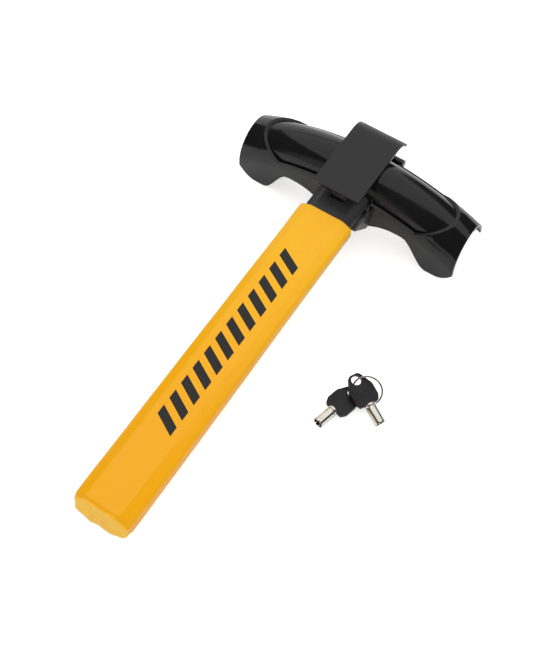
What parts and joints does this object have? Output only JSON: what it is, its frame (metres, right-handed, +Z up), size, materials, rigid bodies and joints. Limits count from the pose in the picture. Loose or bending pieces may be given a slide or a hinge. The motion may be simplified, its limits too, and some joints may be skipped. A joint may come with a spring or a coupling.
{
  "type": "steering wheel lock",
  "caption": "T-shaped anti-theft lock with a padded flat bar, an arched hinged clamp head that closes round a wheel rim, a round-key cylinder and loose keys on a ring.",
  "frame": {"origin": "on the floor under the middle of the assembly's box, keys included", "axes": "+X along the clamp head to the keys' side, +Y from the bar's end to the head, +Z up from the floor that the lock lies on"},
  "size_m": [0.2384, 0.411, 0.077],
  "materials": {
    "black_paint": "gloss black paint",
    "yellow_vinyl": "glossy dipped vinyl",
    "rubber": "matte",
    "steel": "plain steel",
    "nickel": "bright nickel plate",
    "brass": "turned brass",
    "bow_plastic": "moulded black plastic"
  },
  "bodies": {
    "bar": {"bar_tube": "steel", "grip_sleeve": "yellow_vinyl", "bar_end_plug": "rubber", "lock_housing": "black_paint", "gusset_left": "black_paint", "gusset_right": "black_paint", "lower_jaw": "black_paint", "lower_jaw_pad": "rubber", "hinge_lug_left": "black_paint", "hinge_lug_right": "black_paint", "hinge_pin": "steel", "cylinder_body": "nickel", "cylinder_roll_pin": "steel"},
    "upper_jaw": {"upper_shell": "black_paint", "upper_jaw_pad": "rubber", "jaw_cover": "black_paint", "strap_plate": "black_paint", "latch_tongue": "steel"},
    "plug": {"cylinder_plug": "brass", "cam": "steel"},
    "bolt": {"bolt": "steel"},
    "tumbler_1": {"tumbler_pin_1": "steel"},
    "tumbler_2": {"tumbler_pin_2": "steel"},
    "tumbler_3": {"tumbler_pin_3": "steel"},
    "tumbler_4": {"tumbler_pin_4": "steel"},
    "tumbler_5": {"tumbler_pin_5": "steel"},
    "tumbler_6": {"tumbler_pin_6": "steel"},
    "tumbler_7": {"tumbler_pin_7": "steel"},
    "key_1": {"key_1_bow": "bow_plastic", "key_1_barrel": "nickel"},
    "key_ring": {"key_ring": "nickel"},
    "key_2": {"key_2_bow": "bow_plastic", "key_2_barrel": "nickel"}
  },
  "joints": [
    {"name": "jaw_hinge", "type": "hinge", "parent": "bar", "child": "upper_jaw", "pos_m": [-0.01171, 0.2003, 0.04164], "axis": [-1, 0, 0], "range_deg": [0, 100]},
    {"name": "plug_turn", "type": "hinge", "parent": "bar", "child": "plug", "pos_m": [-0.01171, 0.11876, 0.04569], "axis": [0, -0.0978, 0.9952], "range_deg": [0, 90]},
    {"name": "bolt_slide", "type": "slide", "parent": "bar", "child": "bolt", "axis": [0, 0.9952, 0.0978], "range_m": [0, 0.00608]},
    {"name": "tumbler_1_press", "type": "slide", "parent": "plug", "child": "tumbler_1", "axis": [0, -0.0978, 0.9952], "range_m": [0, 0.0008], "stiffness_N_per_m": 60},
    {"name": "tumbler_2_press", "type": "slide", "parent": "plug", "child": "tumbler_2", "axis": [0, -0.0978, 0.9952], "range_m": [0, 0.0008]},
    {"name": "tumbler_3_press", "type": "slide", "parent": "plug", "child": "tumbler_3", "axis": [0, -0.0978, 0.9952], "range_m": [0, 0.0008]},
    {"name": "tumbler_4_press", "type": "slide", "parent": "plug", "child": "tumbler_4", "axis": [0, -0.0978, 0.9952], "range_m": [0, 0.0008]},
    {"name": "tumbler_5_press", "type": "slide", "parent": "plug", "child": "tumbler_5", "axis": [0, -0.0978, 0.9952], "range_m": [0, 0.0008]},
    {"name": "tumbler_6_press", "type": "slide", "parent": "plug", "child": "tumbler_6", "axis": [0, -0.0978, 0.9952], "range_m": [0, 0.0008]},
    {"name": "tumbler_7_press", "type": "slide", "parent": "plug", "child": "tumbler_7", "axis": [0, -0.0978, 0.9952], "range_m": [0, 0.0008]},
    {"name": "keys_lift", "type": "slide", "parent": "bar", "child": "key_1", "axis": [0, 0, 1], "range_m": [0, 0.1]},
    {"name": "key_ring_spin", "type": "hinge", "parent": "key_1", "child": "key_ring", "pos_m": [0.09439, 0.0061, 0.01019], "axis": [0.1983, -0.7399, 0.6428], "continuous": true},
    {"name": "key_2_swing", "type": "hinge", "parent": "key_1", "child": "key_2", "pos_m": [0.08316, 0.00674, 0.01439], "axis": [0.2186, -0.1114, 0.9694], "range_deg": [-20, 5]}
  ],
  "couplings": [
    {"joint": "plug_turn", "follows": "bolt_slide", "rad_per_m": 258.3},
    {"joint": "tumbler_2_press", "follows": "tumbler_1_press", "ratio": 1},
    {"joint": "tumbler_3_press", "follows": "tumbler_1_press", "ratio": 1},
    {"joint": "tumbler_4_press", "follows": "tumbler_1_press", "ratio": 1},
    {"joint": "tumbler_5_press", "follows": "tumbler_1_press", "ratio": 1},
    {"joint": "tumbler_6_press", "follows": "tumbler_1_press", "ratio": 1},
    {"joint": "tumbler_7_press", "follows": "tumbler_1_press", "ratio": 1}
  ]
}
